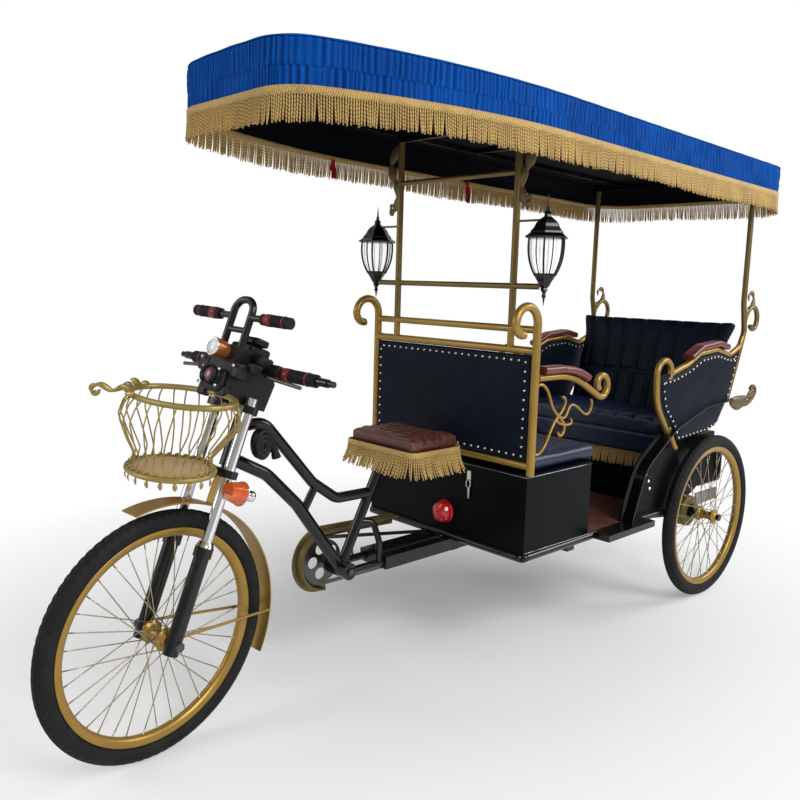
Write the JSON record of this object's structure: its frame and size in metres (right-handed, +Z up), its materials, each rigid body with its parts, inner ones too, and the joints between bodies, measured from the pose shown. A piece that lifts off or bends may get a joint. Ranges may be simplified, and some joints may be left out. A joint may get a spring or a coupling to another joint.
{
  "type": "electric surrey bike",
  "caption": "Electric surrey tricycle with a steered front wheel, rider's saddle, facing passenger benches, scrolled gilt rails and a fringed canopy roof.",
  "frame": {"origin": "on the ground, below the middle of the vehicle's box", "axes": "+X forward, +Y to the rider's left, +Z up; the steering rests a little to the left"},
  "size_m": [2.9404, 0.9, 1.8026],
  "materials": {
    "black_paint": "gloss",
    "steel": "satin",
    "olive_gold": "satin",
    "brown_leather": "semi-gloss",
    "gold_fringe": "soft",
    "brown_floor": "satin",
    "black_board": "satin",
    "dark_plastic": "matte",
    "navy_leather": "semi-gloss",
    "red_lens": "clear red",
    "gold_paint": "metallic gold",
    "white_glass": "frosted",
    "maroon_wood": "varnished",
    "bronze_paint": "satin",
    "blue_cloth": "woven",
    "chrome": "polished",
    "black_rubber": "matte",
    "copper_paint": "metallic",
    "orange_lens": "clear orange",
    "peach_plastic": "gloss",
    "tyre": "matte"
  },
  "bodies": {
    "carriage": {"main_frame": "black_paint", "chassis": "black_paint", "drive_chain": "steel", "chain_guard": "olive_gold", "driver_seat": "brown_leather", "seat_fringes": "gold_fringe", "floor_board": "brown_floor", "battery_box": "black_board", "battery_pack": "dark_plastic", "front_bench_cushion": "navy_leather", "marker_lamp": "red_lens", "front_panel_frame": "gold_paint", "front_panel": "navy_leather", "roof_frame": "black_paint", "front_posts": "gold_paint", "lanterns": "black_paint", "lantern_glass": "white_glass", "front_arms": "gold_paint", "arm_caps": "maroon_wood", "rear_seat_base": "black_board", "rear_cushion": "navy_leather", "rear_backrest": "navy_leather", "rear_posts": "gold_paint", "rear_side_scrolls": "gold_paint", "rear_side_boards": "navy_leather", "tail_ornaments": "bronze_paint", "rear_mudguards": "black_paint", "rear_axle": "black_paint", "leaf_springs": "black_paint", "canopy": "blue_cloth", "canopy_fringe": "gold_fringe", "horn": "dark_plastic"},
    "steering": {"fork_stanchions": "chrome", "fork_lower_legs": "black_paint", "front_axle": "steel", "fork_crowns": "black_paint", "console": "dark_plastic", "handlebar": "black_paint", "handlebar_hoop": "black_paint", "grips": "black_rubber", "brake_levers": "steel", "barrel_lamp": "copper_paint", "headlamp": "chrome", "turn_signals": "orange_lens", "front_mudguard": "gold_paint", "basket": "gold_paint", "basket_tray": "peach_plastic"},
    "front_wheel": {"front_tyre": "tyre", "front_rim": "gold_paint", "front_hub": "gold_paint"},
    "rear_wheel_left": {"rear_left_tyre": "tyre", "rear_left_rim": "gold_paint", "rear_left_hub": "gold_paint"},
    "rear_wheel_right": {"rear_right_tyre": "tyre", "rear_right_rim": "gold_paint", "rear_right_hub": "gold_paint"},
    "crank": {"chainring": "steel"}
  },
  "joints": [
    {"name": "steering_turn", "type": "hinge", "parent": "carriage", "child": "steering", "pos_m": [1.10105, 0, 0.31395], "axis": [-0.3567, 0, 0.9342], "range_deg": [-47.8, 32.2]},
    {"name": "front_wheel_spin", "type": "hinge", "parent": "steering", "child": "front_wheel", "pos_m": [1.1427, 0.00611, 0.32985], "axis": [-0.1268, 0.9907, -0.0484], "continuous": true},
    {"name": "rear_left_spin", "type": "hinge", "parent": "carriage", "child": "rear_wheel_left", "pos_m": [-1.08291, 0.375, 0.33], "axis": [0, 1, 0], "continuous": true},
    {"name": "rear_right_spin", "type": "hinge", "parent": "carriage", "child": "rear_wheel_right", "pos_m": [-1.08291, -0.375, 0.33], "axis": [0, 1, 0], "continuous": true},
    {"name": "crank_spin", "type": "hinge", "parent": "carriage", "child": "crank", "pos_m": [0.54109, 0, 0.37], "axis": [0, 1, 0], "continuous": true}
  ]
}
